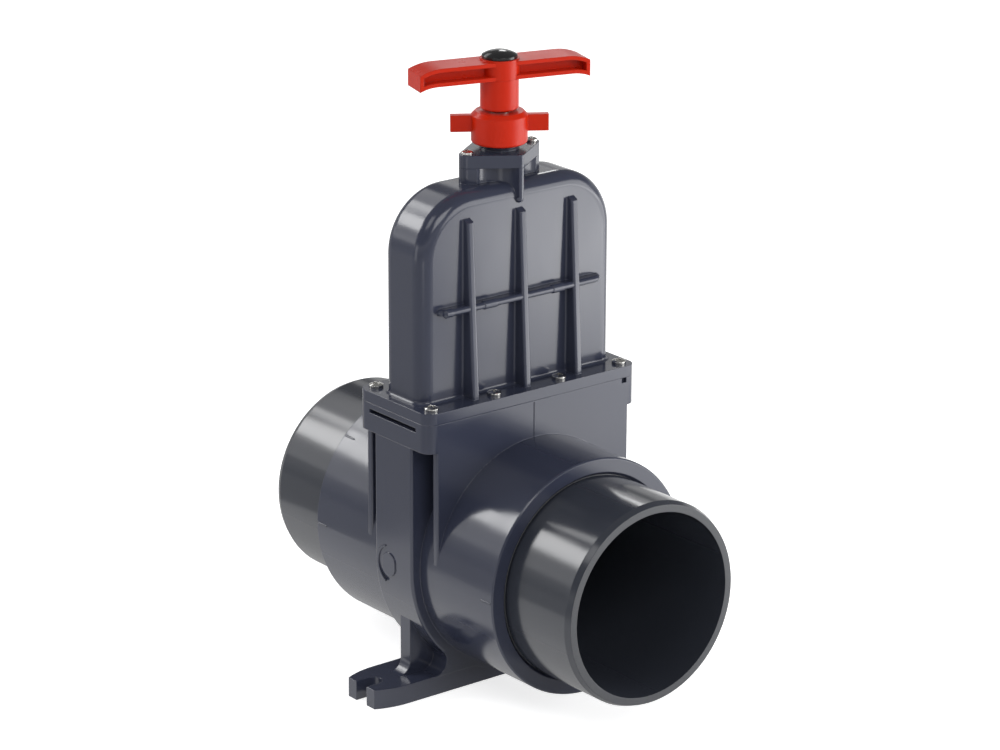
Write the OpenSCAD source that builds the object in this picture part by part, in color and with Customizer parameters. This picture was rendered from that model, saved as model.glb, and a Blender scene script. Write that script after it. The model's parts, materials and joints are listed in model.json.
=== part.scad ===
// Pull-rod slide valve in grey plastic: a flat gate is drawn up into the hood
// by a T-handle, and a wing nut on the neck clamps the rod where it stands.
// All sizes are in millimetres. X runs across the valve, Y along the pipe,
// Z up, and the origin is under the middle of the foot.

/* [View] */
// Piece to draw, or all of them
// Smoothness of drawn circles
smoothness = 96; // [32:8:160]

/* [Pipe ends] */
// Outside diameter of the plain spigots
pipe_d = 160; // [140:1:180]
// Wall of the spigots
pipe_wall = 7.7; // [5:0.1:9]
// From the valve centre to each spigot end
spigot_reach = 184.5; // [160:0.5:240]
// Length of the lead-in chamfer on a spigot end
spigot_chamfer_len = 5; // [2:0.5:12]
// Depth of the lead-in chamfer on a spigot end
spigot_chamfer_depth = 2; // [0.5:0.1:3]
// Glue gap between a spigot and its socket, on the radius
glue_gap = 0.1; // [0.05:0.01:0.3]
// Width of the groove that takes up surplus glue at the hub mouth
glue_groove_w = 2.4; // [2:0.1:3]
// Depth of that groove
glue_groove_deep = 0.8; // [0.4:0.1:1.5]

/* [Body] */
// Height of the pipe centre line above the foot's underside
axis_height = 106; // [104:1:140]
// Wall of the hubs round the spigots
hub_wall = 13.4; // [9:0.1:18]
// From the valve centre to the end face of a hub
hub_reach = 111; // [95:0.5:140]
// Chamfer on the outer edge of a hub end
hub_edge = 1; // [0.5:0.1:3]
// Flare at the mouth of a socket
mouth_flare = 2.2; // [0.5:0.1:4]
// Thickness of the gate housing between the two hubs
slab_depth = 46; // [42:1:60]
// Rounding of the gate housing's edges
slab_edge_r = 2; // [0.5:0.1:4]
// Wall of the gate housing outside the gate
slab_wall = 17.2; // [12:0.1:24]
// Space between the top of a hub and the flange
flange_gap = 6.5; // [4:0.1:20]
// Thickness of the body flange
body_flange_t = 22.5; // [18:0.1:30]
// Depth of both flanges along the pipe
flange_depth = 88; // [80:1:110]
// How far the flanges stand out past the gate housing at each side
flange_lip = 0.3; // [0.2:0.1:6]
// Corner radius of both flanges
flange_corner_r = 9.5; // [5:0.5:14]
// Thickness of the cheek plates below the flange
cheek_t = 6; // [4:0.5:9]
// Half width of the cheek plates
cheek_half_w = 93; // [80:0.5:96]
// Rounding of the cheek plates' upright edges
cheek_edge_r = 1.5; // [0.5:0.1:2.5]
// Length of the slot in each side of the flange
side_slot_len = 58; // [30:1:70]
// Height of that slot
side_slot_h = 3.4; // [2:0.1:5]
// Depth of that slot
side_slot_deep = 8; // [3:0.5:10]
// Height of the slot's middle under the joint
side_slot_drop = 6.2; // [4.6:0.1:12]
// Width of the notches for prising the bonnet off
notch_w = 4.4; // [3:0.1:8]
// Height of those notches
notch_h = 4; // [2:0.1:6]
// Depth of those notches
notch_deep = 3; // [1:0.5:5]
// From the flange side to the outer side of a notch
notch_in = 10.9; // [10:0.1:20]
// Height of the raised spot where the mould was filled
pad_rise = 0.8; // [0.3:0.1:1.5]
// Radius of the crescent beside that spot
pad_crescent_r = 15.5; // [12:0.5:16]
// Length of the index ridges on the hubs
ridge_len = 12; // [6:1:20]

/* [Foot] */
// Length of the foot bar
foot_len = 265.4; // [240:1:320]
// Width of the foot bar
foot_w = 45.6; // [36:0.5:60]
// Width of the foot at its tips
foot_tip_w = 33.2; // [26:0.5:40]
// Thickness of the foot bar
foot_t = 15.5; // [10:0.5:22]
// Length of the curved part of each tip
foot_taper_len = 27.7; // [10:0.1:34]
// Width of the open slots for the fixing bolts
foot_slot_w = 13; // [9:0.5:16]
// Depth of those slots from the tip
foot_slot_deep = 18.4; // [12:0.1:30]
// Thickness of the web between foot and gate housing
web_t = 12; // [8:0.5:20]
// Half length of that web
web_half_len = 90.5; // [80:0.5:98]
// Fillet where the web runs into the foot
web_fillet = 10; // [4:0.5:14]
// Fillet between the gate housing and the foot
housing_fillet = 10.5; // [6:0.5:14]

/* [Gate] */
// Thickness of the gate
gate_t = 10; // [8:0.5:12]
// How far the gate reaches past the bore, all round
gate_overlap = 11.7; // [10:0.1:16]
// Running gap between the gate's edge and its chamber
gate_edge_gap = 0.3; // [0.2:0.1:1]
// Space beside the gate, filled by the seal lips
gate_face_gap = 1; // [0.6:0.1:2]
// Height of the gate's top edge above the top of the seals
gate_top_rise = 16.4; // [14:0.1:30]
// Gap between a seal lip and the gate
lip_gap = 0.1; // [0.05:0.01:0.3]
// Depth of the seal seats in the chamber walls
seal_deep = 8; // [5:0.5:9]
// Radial width of the seals
seal_w = 9; // [6:0.1:9.6]
// How far the open gate's lowest point clears the bore
open_clear = 0.2; // [0.2:0.1:3]

/* [Bonnet] */
// Thickness of the bonnet flange
bonnet_flange_t = 9; // [6:0.1:14]
// Wall of the hood
hood_wall = 6; // [4:0.1:8]
// Depth of the space inside the hood, along the pipe
hood_space = 36; // [23:0.5:40]
// Space between the gate's edge and the inside of the hood
hood_side_gap = 2.5; // [1.5:0.1:10]
// Space above the open gate's yoke
hood_head_room = 11.5; // [4:0.1:30]
// Radius of the hood's top corners
hood_corner_r = 49; // [30:0.5:60]
// Rounding of the hood's long edges
hood_edge_r = 11; // [3:0.5:12]
// Hollow round between the hood and its flange
hood_base_r = 2.5; // [1:0.5:5]
// Thickness of the upright ribs
rib_t = 6.4; // [4:0.1:9]
// Rounding of the upright ribs' front edges
rib_edge_r = 1.8; // [0.5:0.1:2.5]
// How far an upright rib stands out at its foot
rib_foot_out = 12.8; // [8:0.1:20]
// How far an upright rib stands out at its top
rib_top_out = 5.4; // [4:0.1:16]
// Fall of a rib's top, from the hood out to its front edge
rib_top_fall = 2.5; // [0.5:0.1:6]
// Hollow round at the root of the ribs
rib_root_r = 1.5; // [0.5:0.1:2.5]
// Distance between the upright ribs
rib_pitch = 49.9; // [40:0.1:60]
// Distance from the hood's top to the tops of the ribs
rib_drop = 19.2; // [18:0.1:40]
// Height of the level rib above the bonnet flange
level_rib_up = 70.9; // [40:0.1:100]
// Half length of the level rib
level_rib_half = 78; // [60:1:88]
// Thickness of the level rib
level_rib_t = 5.2; // [3:0.1:8]
// How far the level rib stands out
level_rib_out = 8.7; // [5:0.1:12]
// Thickness of the guide ribs inside the hood
guide_rib_t = 3; // [2:0.5:4]

/* [Neck] */
// Height of the neck block above the hood
neck_h = 12; // [9.5:0.1:18]
// Thickness of the gland plate
plate_t = 10; // [8:0.5:16]
// From the rod to the middle of a side corner
neck_side = 30.7; // [28:0.1:36]
// Radius of the side corners
neck_side_r = 6.2; // [5.4:0.1:8]
// From the rod to the middle of the front and rear corners
neck_front = 24.1; // [22:0.1:28]
// Radius of the front and rear corners
neck_front_r = 3.8; // [3:0.1:5]
// How far the front and rear corner bosses hang down the hood
boss_drop = 15.5; // [8:0.5:24]
// Wall left round the rod packing where the neck is scooped out
packing_wall = 3.3; // [2.5:0.1:6]
// Depth of the scoops
scoop_deep = 5.5; // [4:0.1:9]

/* [Rod] */
// Diameter of the pull rod
rod_d = 16; // [14:0.5:17]
// Running gap round the rod, on the radius
rod_gap = 0.08; // [0.03:0.01:0.1]
// Outside radius of the packing that seals the rod
packing_r = 13; // [12:0.1:13.5]
// Length of the guide bush
bush_h = 6; // [4:0.5:8]
// Height of each rod seal
rod_seal_h = 4; // [3:0.5:5]
// Thickness of the spacer between the rod seals
spacer_h = 2; // [1:0.5:3]
// Thickness of the roof under the packing
packing_floor = 4; // [2:0.5:5]
// Radius of the rod's neck in the yoke
rod_neck_r = 5; // [4:0.1:6]
// Height of the button on the rod's foot
button_h = 5; // [3:0.5:7]
// Clearance of the rod's foot in the yoke
yoke_gap = 0.3; // [0.2:0.05:0.6]

/* [Yoke] */
// Width of the yoke across the valve
yoke_w = 36; // [30:1:44]
// Depth of the yoke along the pipe
yoke_depth = 22; // [20:0.5:22]
// How far the yoke's cheeks reach down over the gate
yoke_grip = 10.5; // [8:0.5:14]
// Height of the yoke above the gate
yoke_rise = 18; // [15:0.5:24]
// Thickness of the yoke between gate and rod button
yoke_floor = 2.2; // [1.5:0.1:4]
// Diameter of the yoke pins
yoke_pin_d = 5; // [4:0.5:6]
// Distance between the two yoke pins
yoke_pin_pitch = 22; // [16:1:26]
// Clearance of the yoke in its pocket
pocket_gap = 1; // [0.5:0.1:2]

/* [Clamp] */
// Outside radius of the thread on the gland plate
thread_r = 15.1; // [14.5:0.1:16]
// Depth of the thread
thread_deep = 0.8; // [0.5:0.1:1.2]
// Pitch of the thread
thread_pitch = 3; // [2:0.5:4]
// Height of the threaded neck above the gland plate
thread_h = 21; // [16:0.5:26]
// Gap between the two threads, on the radius
thread_gap = 0.35; // [0.2:0.05:0.6]
// Depth of the cone that the collet sits in
cone_deep = 9; // [6:0.5:12]
// Radius of the cone at its mouth
cone_r = 12.1; // [11:0.1:12.6]
// Taper of the cone on the radius
cone_taper = 2.7; // [1.5:0.1:3]
// How far the collet stands out of the cone
collet_out = 1.3; // [1:0.1:3]
// Width of the slit in the collet
collet_slit = 2; // [1:0.5:3]
// Thickness of the thrust ring
thrust_t = 2.9; // [2:0.1:5]
// Gap above and below the thrust ring
thrust_gap = 0.15; // [0.1:0.05:0.3]
// Space between the gland plate and the wing nut
nut_gap = 4.6; // [3:0.1:9]
// Height of the wing nut
nut_h = 24.4; // [20:0.1:28]
// Radius of the wing nut
nut_r = 21.4; // [19:0.1:26]
// Chamfer on the wing nut's edges
nut_edge = 3; // [1:0.1:4]
// Rounding of the wing nut's lower edge
nut_foot_r = 2; // [0.5:0.5:4]
// Half span over the two wings
wing_reach = 37; // [30:0.5:48]
// Height of the wings
wing_h = 12.8; // [8:0.1:16]
// How far the wings sit above the middle of the nut
wing_up = 2.8; // [0:0.1:4]
// Thickness of the wings
wing_t = 6; // [4:0.5:9]
// Direction of the wings, seen from above
wing_angle = -33.7; // [-90:0.1:90]

/* [Handle] */
// Radius of the sleeve under the handle
sleeve_r = 14.6; // [12:0.1:18]
// Height of the sleeve
sleeve_h = 23.9; // [16:0.1:40]
// Space between wing nut and sleeve
sleeve_gap = 1.8; // [1.4:0.1:4]
// Length of the step inside the sleeve
sleeve_step = 3.7; // [2:0.1:6]
// Half length of the handle bar
bar_half_len = 68.6; // [55:0.1:90]
// Width of the handle bar
bar_w = 25.4; // [20:0.1:28]
// Thickness of the handle bar
bar_t = 13.8; // [11:0.1:18]
// Length of each drooping end
droop_len = 18.6; // [10:0.1:26]
// How far the ends droop on top
droop_top = 4.2; // [1:0.1:6]
// How far the ends droop underneath
droop_under = 3; // [1:0.1:4]
// Width of the rim round the side pockets
pocket_rim = 3; // [2:0.1:4]
// Thickness of the web between the side pockets
bar_web = 9; // [5:0.5:12]
// Direction of the handle bar, seen from above
handle_angle = -15.6; // [-90:0.1:90]
// Radius of the handle's hub
handle_hub_r = 14.9; // [13:0.1:17]
// Height of the hub above the bar
hub_rise = 1.2; // [0.5:0.1:3]
// Thickness of the floor under the handle screw
handle_floor = 6.8; // [5:0.1:9]
// Radius of the pocket for screw and cap
cap_pocket_r = 11; // [10:0.1:12]
// Radius of the cap
cap_r = 13.5; // [12:0.1:16]
// Height of the cap's rim
cap_rim = 2.2; // [1:0.1:4]
// Height of the cap's dome above its rim
cap_dome = 3.8; // [2:0.1:6]

/* [Fasteners] */
// Diameter of the flange screws
screw_d = 6; // [5:0.5:7]
// Length of the flange screws under the head
screw_len = 24; // [18:1:26]
// Diameter of the flange screw heads
screw_head_d = 11; // [9:0.5:13]
// Height of the flange screw heads
screw_head_h = 3.8; // [2.5:0.1:5]
// Length of the threaded inserts
insert_len = 15; // [10:0.5:17]
// Diameter of the threaded inserts
insert_d = 9.2; // [8:0.1:11]
// Distance between the two middle screws
screw_mid_pitch = 62.8; // [50:0.1:80]
// Diameter of the neck screws
neck_screw_d = 5; // [4:0.5:6]
// Length of the neck screws under the head
neck_screw_len = 19; // [14:0.5:21]
// Diameter of the neck screw heads
neck_head_d = 9.2; // [8:0.1:10]
// Height of the neck screw heads
neck_head_h = 3.2; // [2:0.1:4]
// Diameter of the handle screw
handle_screw_d = 6; // [5:0.5:7]
// Length of the handle screw under the head
handle_screw_len = 28; // [20:1:40]
// Thickness of the bonnet gasket
gasket_t = 2; // [1:0.1:3]
// Width of the bonnet gasket
gasket_w = 5.5; // [3:0.1:6]

/* [Hidden] */
$fn = smoothness;
eps = 0.01;
pvc = [0.27, 0.29, 0.33];
pvc_pale = [0.32, 0.34, 0.38];
red = [0.85, 0.2, 0.1];
black = [0.06, 0.06, 0.06];
steel = [0.75, 0.76, 0.78];
brass = [0.8, 0.65, 0.3];
rubber = [0.1, 0.1, 0.1];
nylon = [0.9, 0.9, 0.86];
pipe_r = pipe_d / 2;
bore_r = pipe_r - pipe_wall;
socket_r = pipe_r + glue_gap;
hub_r = socket_r + hub_wall;
gate_r = bore_r + gate_overlap;
chamber_r = gate_r + gate_edge_gap;
chamber_half = gate_t / 2 + gate_face_gap;
slab_r = chamber_r + slab_wall;
slab_half = slab_depth / 2;
flange_z = axis_height + hub_r + flange_gap;
joint_z = flange_z + body_flange_t;
hood_z = joint_z + bonnet_flange_t;
flange_half_x = slab_r + flange_lip;
flange_half_y = flange_depth / 2;
seal_in_r = bore_r + 0.3;
seal_out_r = seal_in_r + seal_w;
seat_r = seal_out_r + 0.1;
seat_end = chamber_half + seal_deep;
socket_end = slab_half - 1;
gate_top = axis_height + seal_out_r + gate_top_rise;
yoke_low = gate_top - yoke_grip;
yoke_top = gate_top + yoke_rise;
travel = gate_r + bore_r + open_clear;
hood_in_top = yoke_top + travel + hood_head_room;
hood_top = hood_in_top + hood_wall;
hood_in_half_x = gate_r + hood_side_gap;
hood_in_half_y = hood_space / 2;
hood_half_x = hood_in_half_x + hood_wall;
hood_half_y = hood_in_half_y + hood_wall;
plate_z = hood_top + neck_h;
plate_top = plate_z + plate_t;
rod_r = rod_d / 2;
packing_z = hood_in_top + packing_floor;
packing_top = packing_z + bush_h + 2 * rod_seal_h + spacer_h;
thread_top = plate_top + thread_h;
nut_z = plate_top + nut_gap;
nut_top = nut_z + nut_h;
nut_bore_r = thread_r + thread_gap;
collet_top = thread_top + collet_out;
thrust_z = collet_top + thrust_gap;
nut_ceiling = thrust_z + thrust_t + thrust_gap;
wing_z = nut_z + (nut_h - wing_h) / 2 + wing_up;
sleeve_z = nut_top + sleeve_gap;
bar_z = sleeve_z + sleeve_h;
bar_top = bar_z + bar_t;
handle_top = bar_top + hub_rise;
seat_z = bar_z + handle_floor;
button_z = gate_top + yoke_floor;
bridge_z = button_z + button_h + yoke_gap;
lump_r = 3.4;
lump_taper = 1.6;
level_rib_spots = [[-76, 9], [-40, 15], [26, 14]];
neck_low = hood_top - min(hood_edge_r, boss_drop - neck_front_r - 0.5);
screw_x = flange_half_x - flange_corner_r - 1.2;
screw_y = flange_half_y - flange_corner_r;
screw_spots = [
  [-screw_x, -screw_y], [-screw_mid_pitch / 2, -screw_y],
  [screw_mid_pitch / 2, -screw_y], [screw_x, -screw_y],
  [-screw_x, screw_y], [-screw_mid_pitch / 2, screw_y],
  [screw_mid_pitch / 2, screw_y], [screw_x, screw_y]
];
gasket_in_x = hood_in_half_x + 1.6;
gasket_in_y = hood_in_half_y + 1.6;
foot_half = foot_len / 2;
foot_bolt_x = foot_half - foot_slot_deep + foot_slot_w / 2;

// Stands a profile drawn in X and Z between two places along the pipe
module along_pipe(y0, y1) {
  translate([0, y1, 0])
    rotate([90, 0, 0])
      linear_extrude(height = y1 - y0)
        children();
}

// A round bar along the pipe on the pipe's centre line
module pipe_disc(r, y0, y1) {
  translate([0, y1, axis_height])
    rotate([90, 0, 0])
      cylinder(h = y1 - y0, r = r);
}

// A ring turned about the pipe's centre line, from a profile of radius and place
module turned_on_pipe() {
  translate([0, 0, axis_height])
    rotate([90, 0, 0])
      rotate_extrude()
        children();
}

// A ring turned about the rod
module ring(r0, r1, z0, z1) {
  translate([0, 0, z0])
    difference() {
      cylinder(h = z1 - z0, r = r1);
      translate([0, 0, -1])
        cylinder(h = z1 - z0 + 2, r = r0);
    }
}

// A rectangle with true round corners, about the middle
module rounded_plan(hx, hy, r) {
  square([2 * (hx - r), 2 * hy], center = true);
  square([2 * hx, 2 * (hy - r)], center = true);
  for (sx = [-1, 1], sy = [-1, 1]) {
    translate([sx * (hx - r), sy * (hy - r)])
      circle(r = r);
  }
}

// A cross recess for a screw driver
module cross_recess(size, deep) {
  for (a = [45, 135]) {
    rotate([0, 0, a])
      translate([-size / 2, -size / 9, -deep])
        cube([size, size / 4.5, deep + 1]);
  }
}

// A pan head screw that hangs from its seat at height 0
module pan_screw(d, length, head_d, head_h) {
  difference() {
    union() {
      rotate_extrude() {
        intersection() {
          translate([0, head_h - head_d * 0.9])
            circle(r = head_d * 0.9);
          square([head_d / 2, head_h]);
        }
      }
      translate([0, 0, -length])
        cylinder(h = length + eps, r = d / 2);
    }
    translate([0, 0, head_h])
      cross_recess(head_d * 0.55, head_h * 0.55);
  }
}

// Section of the gate housing, from its middle out to one side with rounded edges
module slab_section() {
  translate([0, -slab_half])
    square([slab_r - slab_edge_r, slab_depth]);
  translate([0, -slab_half + slab_edge_r])
    square([slab_r, slab_depth - 2 * slab_edge_r]);
  for (side = [-1, 1]) {
    translate([slab_r - slab_edge_r, side * (slab_half - slab_edge_r)])
      circle(r = slab_edge_r);
  }
}

// Gate housing: a half round below the pipe's centre and upright sides above it
module slab() {
  translate([0, 0, axis_height])
    rotate([90, 0, 0])
      rotate_extrude(angle = 180, start = 180)
        slab_section();
  translate([0, 0, axis_height])
    linear_extrude(height = flange_z - axis_height) {
      slab_section();
      mirror([1, 0])
        slab_section();
    }
}

// The corner between gate housing and foot, filled up to a round
module housing_corner(side) {
  reach = slab_r + housing_fillet;
  cz = foot_t + housing_fillet;
  cx = sqrt(reach * reach - (axis_height - cz) * (axis_height - cz));
  tx = cx * slab_r / reach;
  tz = axis_height - (axis_height - cz) * slab_r / reach;
  difference() {
    polygon([
      [side * cx, foot_t - 1], [side * cx / 2, foot_t - 1],
      [side * (tx - 8), tz], [side * tx, tz], [side * cx, foot_t + 1]
    ]);
    translate([side * cx, cz])
      circle(r = housing_fillet);
  }
}

// Outline of the web with its foot fillets
module web_profile() {
  meet = axis_height - sqrt(slab_r * slab_r - web_half_len * web_half_len);
  translate([-web_half_len, 1])
    square([2 * web_half_len, meet + 3]);
  for (side = [-1, 1]) {
    difference() {
      translate([side > 0 ? web_half_len - 1 : -web_half_len - web_fillet, foot_t - 1])
        square([web_fillet + 1, web_fillet + 1]);
      translate([side * (web_half_len + web_fillet), foot_t + web_fillet])
        circle(r = web_fillet);
    }
  }
}

// The foot bar from above: straight sides that curve in to the tips
module foot_plan() {
  straight = foot_half - foot_taper_len;
  drop = (foot_w - foot_tip_w) / 2;
  bend_r = (foot_taper_len * foot_taper_len + drop * drop) / (2 * drop);
  difference() {
    union() {
      square([2 * straight, foot_w], center = true);
      for (side = [0, 1]) {
        mirror([side, 0])
          intersection() {
            translate([straight, -foot_w / 2])
              square([foot_taper_len, foot_w]);
            translate([straight, foot_w / 2 - bend_r])
              circle(r = bend_r);
            translate([straight, bend_r - foot_w / 2])
              circle(r = bend_r);
          }
      }
    }
    for (side = [-1, 1]) {
      translate([side * foot_bolt_x, 0])
        circle(d = foot_slot_w);
      translate([side > 0 ? foot_bolt_x : -foot_half - 1, -foot_slot_w / 2])
        square([foot_half - foot_bolt_x + 1, foot_slot_w]);
    }
  }
}

// Half profile of both hubs with chamfered ends, as radius and place
module hub_profile() {
  polygon([
    [0, -hub_reach], [hub_r - hub_edge, -hub_reach], [hub_r, -hub_reach + hub_edge],
    [hub_r, hub_reach - hub_edge], [hub_r - hub_edge, hub_reach], [0, hub_reach]
  ]);
}

// What the bore and one socket take out, as radius and place
module socket_profile(side) {
  scale([1, side])
    polygon([
      [0, -1], [bore_r, -1], [bore_r, socket_end], [socket_r, socket_end],
      [socket_r, hub_reach - mouth_flare], [socket_r + mouth_flare, hub_reach],
      [socket_r + mouth_flare, hub_reach + 1], [0, hub_reach + 1]
    ]);
}

// One short ridge on a hub, near its end face
module index_ridge(side, a) {
  translate([0, side * (hub_reach - 1.5 - ridge_len / 2), axis_height])
    rotate([0, -a, 0])
      translate([hub_r - 1, -ridge_len / 2, -0.5])
        cube([1.5, ridge_len, 1]);
}

// Raised spot with a crescent beside it, where the mould was filled
module gate_pad() {
  translate([-slab_r - pad_rise, 5.5, axis_height - 1.5])
    rotate([0, 90, 0])
      linear_extrude(height = pad_rise + 1) {
        translate([-1.6, 0])
          circle(r = 8);
        translate([1.6, 0])
          circle(r = 8);
        difference() {
          circle(r = pad_crescent_r);
          translate([0, -2.2])
            circle(r = pad_crescent_r - 0.6);
          translate([-pad_crescent_r, -2 * pad_crescent_r + 4])
            square([2 * pad_crescent_r, 2 * pad_crescent_r]);
        }
      }
}

module body() {
  color(pvc)
    difference() {
      union() {
        turned_on_pipe()
          hub_profile();
        slab();
        for (sy = [-1, 1]) {
          along_pipe(sy > 0 ? web_t / 2 - 1 : -slab_half, sy > 0 ? slab_half : 1 - web_t / 2) {
            housing_corner(-1);
            housing_corner(1);
          }
          translate([0, sy * (flange_half_y - cheek_t / 2), axis_height])
            linear_extrude(height = flange_z - axis_height)
              rounded_plan(cheek_half_w, cheek_t / 2, cheek_edge_r);
          // Parting line left by the mould
          translate([-0.4, sy > 0 ? flange_half_y - 1 : -flange_half_y - 0.35, axis_height + hub_r - 2])
            cube([0.8, 1.35, joint_z - axis_height - hub_r + 1]);
        }
        along_pipe(-web_t / 2, web_t / 2)
          web_profile();
        linear_extrude(height = foot_t)
          foot_plan();
        translate([0, 0, flange_z])
          linear_extrude(height = body_flange_t)
            rounded_plan(flange_half_x, flange_half_y, flange_corner_r);
        // Index ridges on the hubs: two at the front and four at the rear
        for (a = [0, 180]) {
          index_ridge(-1, a);
        }
        for (a = [0, 45, 135, 180]) {
          index_ridge(1, a);
        }
        for (turn = [0, 180]) {
          rotate([0, 0, turn])
            gate_pad();
        }
      }
      // Bore and sockets
      turned_on_pipe() {
        socket_profile(1);
        socket_profile(-1);
      }
      // Chamber for the gate
      along_pipe(-chamber_half, chamber_half) {
        translate([0, axis_height])
          circle(r = chamber_r);
        translate([-chamber_r, axis_height])
          square([2 * chamber_r, joint_z - axis_height + 1]);
      }
      // Seats for the two seals
      pipe_disc(seat_r, -seat_end, seat_end);
      // Pocket for the yoke above the seals
      translate([-yoke_w / 2 - pocket_gap, -yoke_depth / 2 - pocket_gap, yoke_low - pocket_gap])
        cube([yoke_w + 2 * pocket_gap, yoke_depth + 2 * pocket_gap, joint_z - yoke_low + pocket_gap + 1]);
      // Groove for the gasket
      translate([0, 0, joint_z - gasket_t])
        linear_extrude(height = gasket_t + 1)
          gasket_plan(0.1);
      // Slots in the flange sides
      for (side = [-1, 1]) {
        translate([side > 0 ? flange_half_x - side_slot_deep : -flange_half_x - 1, -side_slot_len / 2, joint_z - side_slot_drop - side_slot_h / 2])
          cube([side_slot_deep + 1, side_slot_len, side_slot_h]);
      }
      // Notches to prise the bonnet off
      for (turn = [0, 180]) {
        rotate([0, 0, turn])
          translate([flange_half_x - notch_in - notch_w, -flange_half_y - 1, joint_z - notch_h])
            cube([notch_w, notch_deep + 1, notch_h + 1]);
      }
      for (p = screw_spots) {
        translate([p[0], p[1], joint_z - insert_len])
          cylinder(h = insert_len + 1, r = insert_d / 2 + 0.02);
        translate([p[0], p[1], joint_z - insert_len - 3])
          cylinder(h = 4, r = screw_d / 2 + 0.3);
      }
    }
}

// One spigot: plain pipe with a glue groove at the hub mouth and a lead-in chamfer
module spigot(side) {
  groove_end = hub_reach + 0.2;
  groove_r = pipe_r - glue_groove_deep;
  color(pvc_pale)
    turned_on_pipe()
      scale([1, -side])
        polygon([
          [bore_r, socket_end], [pipe_r, socket_end], [pipe_r, groove_end - glue_groove_w],
          [groove_r, groove_end - glue_groove_w], [groove_r, groove_end], [pipe_r, groove_end],
          [pipe_r, spigot_reach - spigot_chamfer_len],
          [pipe_r - spigot_chamfer_depth, spigot_reach], [bore_r, spigot_reach]
        ]);
}

module spigot_front() {
  spigot(-1);
}

module spigot_rear() {
  spigot(1);
}

// One rubber seal with a lip towards the gate
module gate_seal(side) {
  lip = gate_t / 2 + lip_gap;
  color(rubber)
    turned_on_pipe()
      scale([1, -side])
        polygon([
          [seal_in_r, chamber_half + 1.5], [seal_in_r, seat_end], [seal_out_r, seat_end],
          [seal_out_r, chamber_half + 0.5], [seal_in_r + 0.66 * seal_w, lip],
          [seal_in_r + 0.33 * seal_w, lip]
        ]);
}

module seal_front() {
  gate_seal(-1);
}

module seal_rear() {
  gate_seal(1);
}

module gasket_plan(extra) {
  difference() {
    rounded_plan(gasket_in_x + gasket_w + extra, gasket_in_y + gasket_w + extra, gasket_w + extra);
    rounded_plan(gasket_in_x - extra, gasket_in_y - extra, 1);
  }
}

module bonnet_gasket() {
  color(rubber)
    translate([0, 0, joint_z - gasket_t])
      linear_extrude(height = gasket_t)
        gasket_plan(0);
}

// Half of the hood's cross section, from its middle out to one rounded side
module hood_section(half_x) {
  translate([0, -hood_half_y])
    square([half_x - hood_edge_r, 2 * hood_half_y]);
  translate([0, -hood_half_y + hood_edge_r])
    square([half_x, 2 * (hood_half_y - hood_edge_r)]);
  for (sy = [-1, 1]) {
    translate([half_x - hood_edge_r, sy * (hood_half_y - hood_edge_r)])
      circle(r = hood_edge_r);
  }
}

// The hood as a solid: two upright sides, two round corners and the crown between
module hood_outside() {
  cx = hood_half_x - hood_corner_r;
  cz = hood_top - hood_corner_r;
  for (side = [0, 1]) {
    mirror([side, 0, 0]) {
      translate([cx, 0, hood_z - 1])
        linear_extrude(height = cz - hood_z + 1)
          hood_section(hood_corner_r);
      translate([cx, 0, cz])
        rotate([90, 0, 0])
          rotate_extrude(angle = 90)
            hood_section(hood_corner_r);
    }
  }
  translate([-cx, -hood_half_y, hood_z - 1])
    cube([2 * cx, 2 * hood_half_y, cz - hood_z + 1]);
  translate([-cx, 0, cz])
    rotate([90, 0, 90])
      linear_extrude(height = 2 * cx)
        hood_crown_section();
}

// Hollow round where the hood meets its flange: four straight runs and four corners
module hood_base_round() {
  straight_x = hood_half_x - hood_edge_r;
  straight_y = hood_half_y - hood_edge_r;
  for (turn = [0, 180]) {
    rotate([0, 0, turn]) {
      translate([-straight_x, -straight_y, hood_z])
        rotate([90, 0, 90])
          linear_extrude(height = 2 * straight_x)
            mirror([1, 0])
              base_round_profile();
      translate([straight_x, straight_y, hood_z])
        rotate([90, 0, 0])
          linear_extrude(height = 2 * straight_y)
            base_round_profile();
    }
  }
  for (sx = [0, 1], sy = [0, 1]) {
    mirror([sx, 0, 0])
      mirror([0, sy, 0])
        translate([straight_x, straight_y, hood_z])
          rotate_extrude(angle = 90)
            base_round_profile();
  }
}

// Hollow round outside an upright face that stands one edge radius from the middle
module base_round_profile() {
  difference() {
    translate([hood_edge_r - 1, -1])
      square([hood_base_r + 1, hood_base_r + 1]);
    translate([hood_edge_r + hood_base_r, hood_base_r])
      circle(r = hood_base_r);
  }
}

// Section of the crown, seen across the valve
module hood_crown_section() {
  translate([-hood_half_y, 0])
    square([2 * hood_half_y, hood_corner_r - hood_edge_r]);
  translate([-hood_half_y + hood_edge_r, 0])
    square([2 * (hood_half_y - hood_edge_r), hood_corner_r]);
  for (sy = [-1, 1]) {
    translate([sy * (hood_half_y - hood_edge_r), hood_corner_r - hood_edge_r])
      circle(r = hood_edge_r);
  }
}

// Space inside the hood as seen along the pipe
module hood_space_profile() {
  r = hood_corner_r - hood_wall;
  cx = hood_in_half_x - r;
  translate([-hood_in_half_x, joint_z - 1])
    square([2 * hood_in_half_x, hood_in_top - r - joint_z + 1]);
  translate([-cx, joint_z - 1])
    square([2 * cx, hood_in_top - joint_z + 1]);
  for (side = [-1, 1]) {
    translate([side * cx, hood_in_top - r])
      circle(r = r);
  }
}

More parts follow.
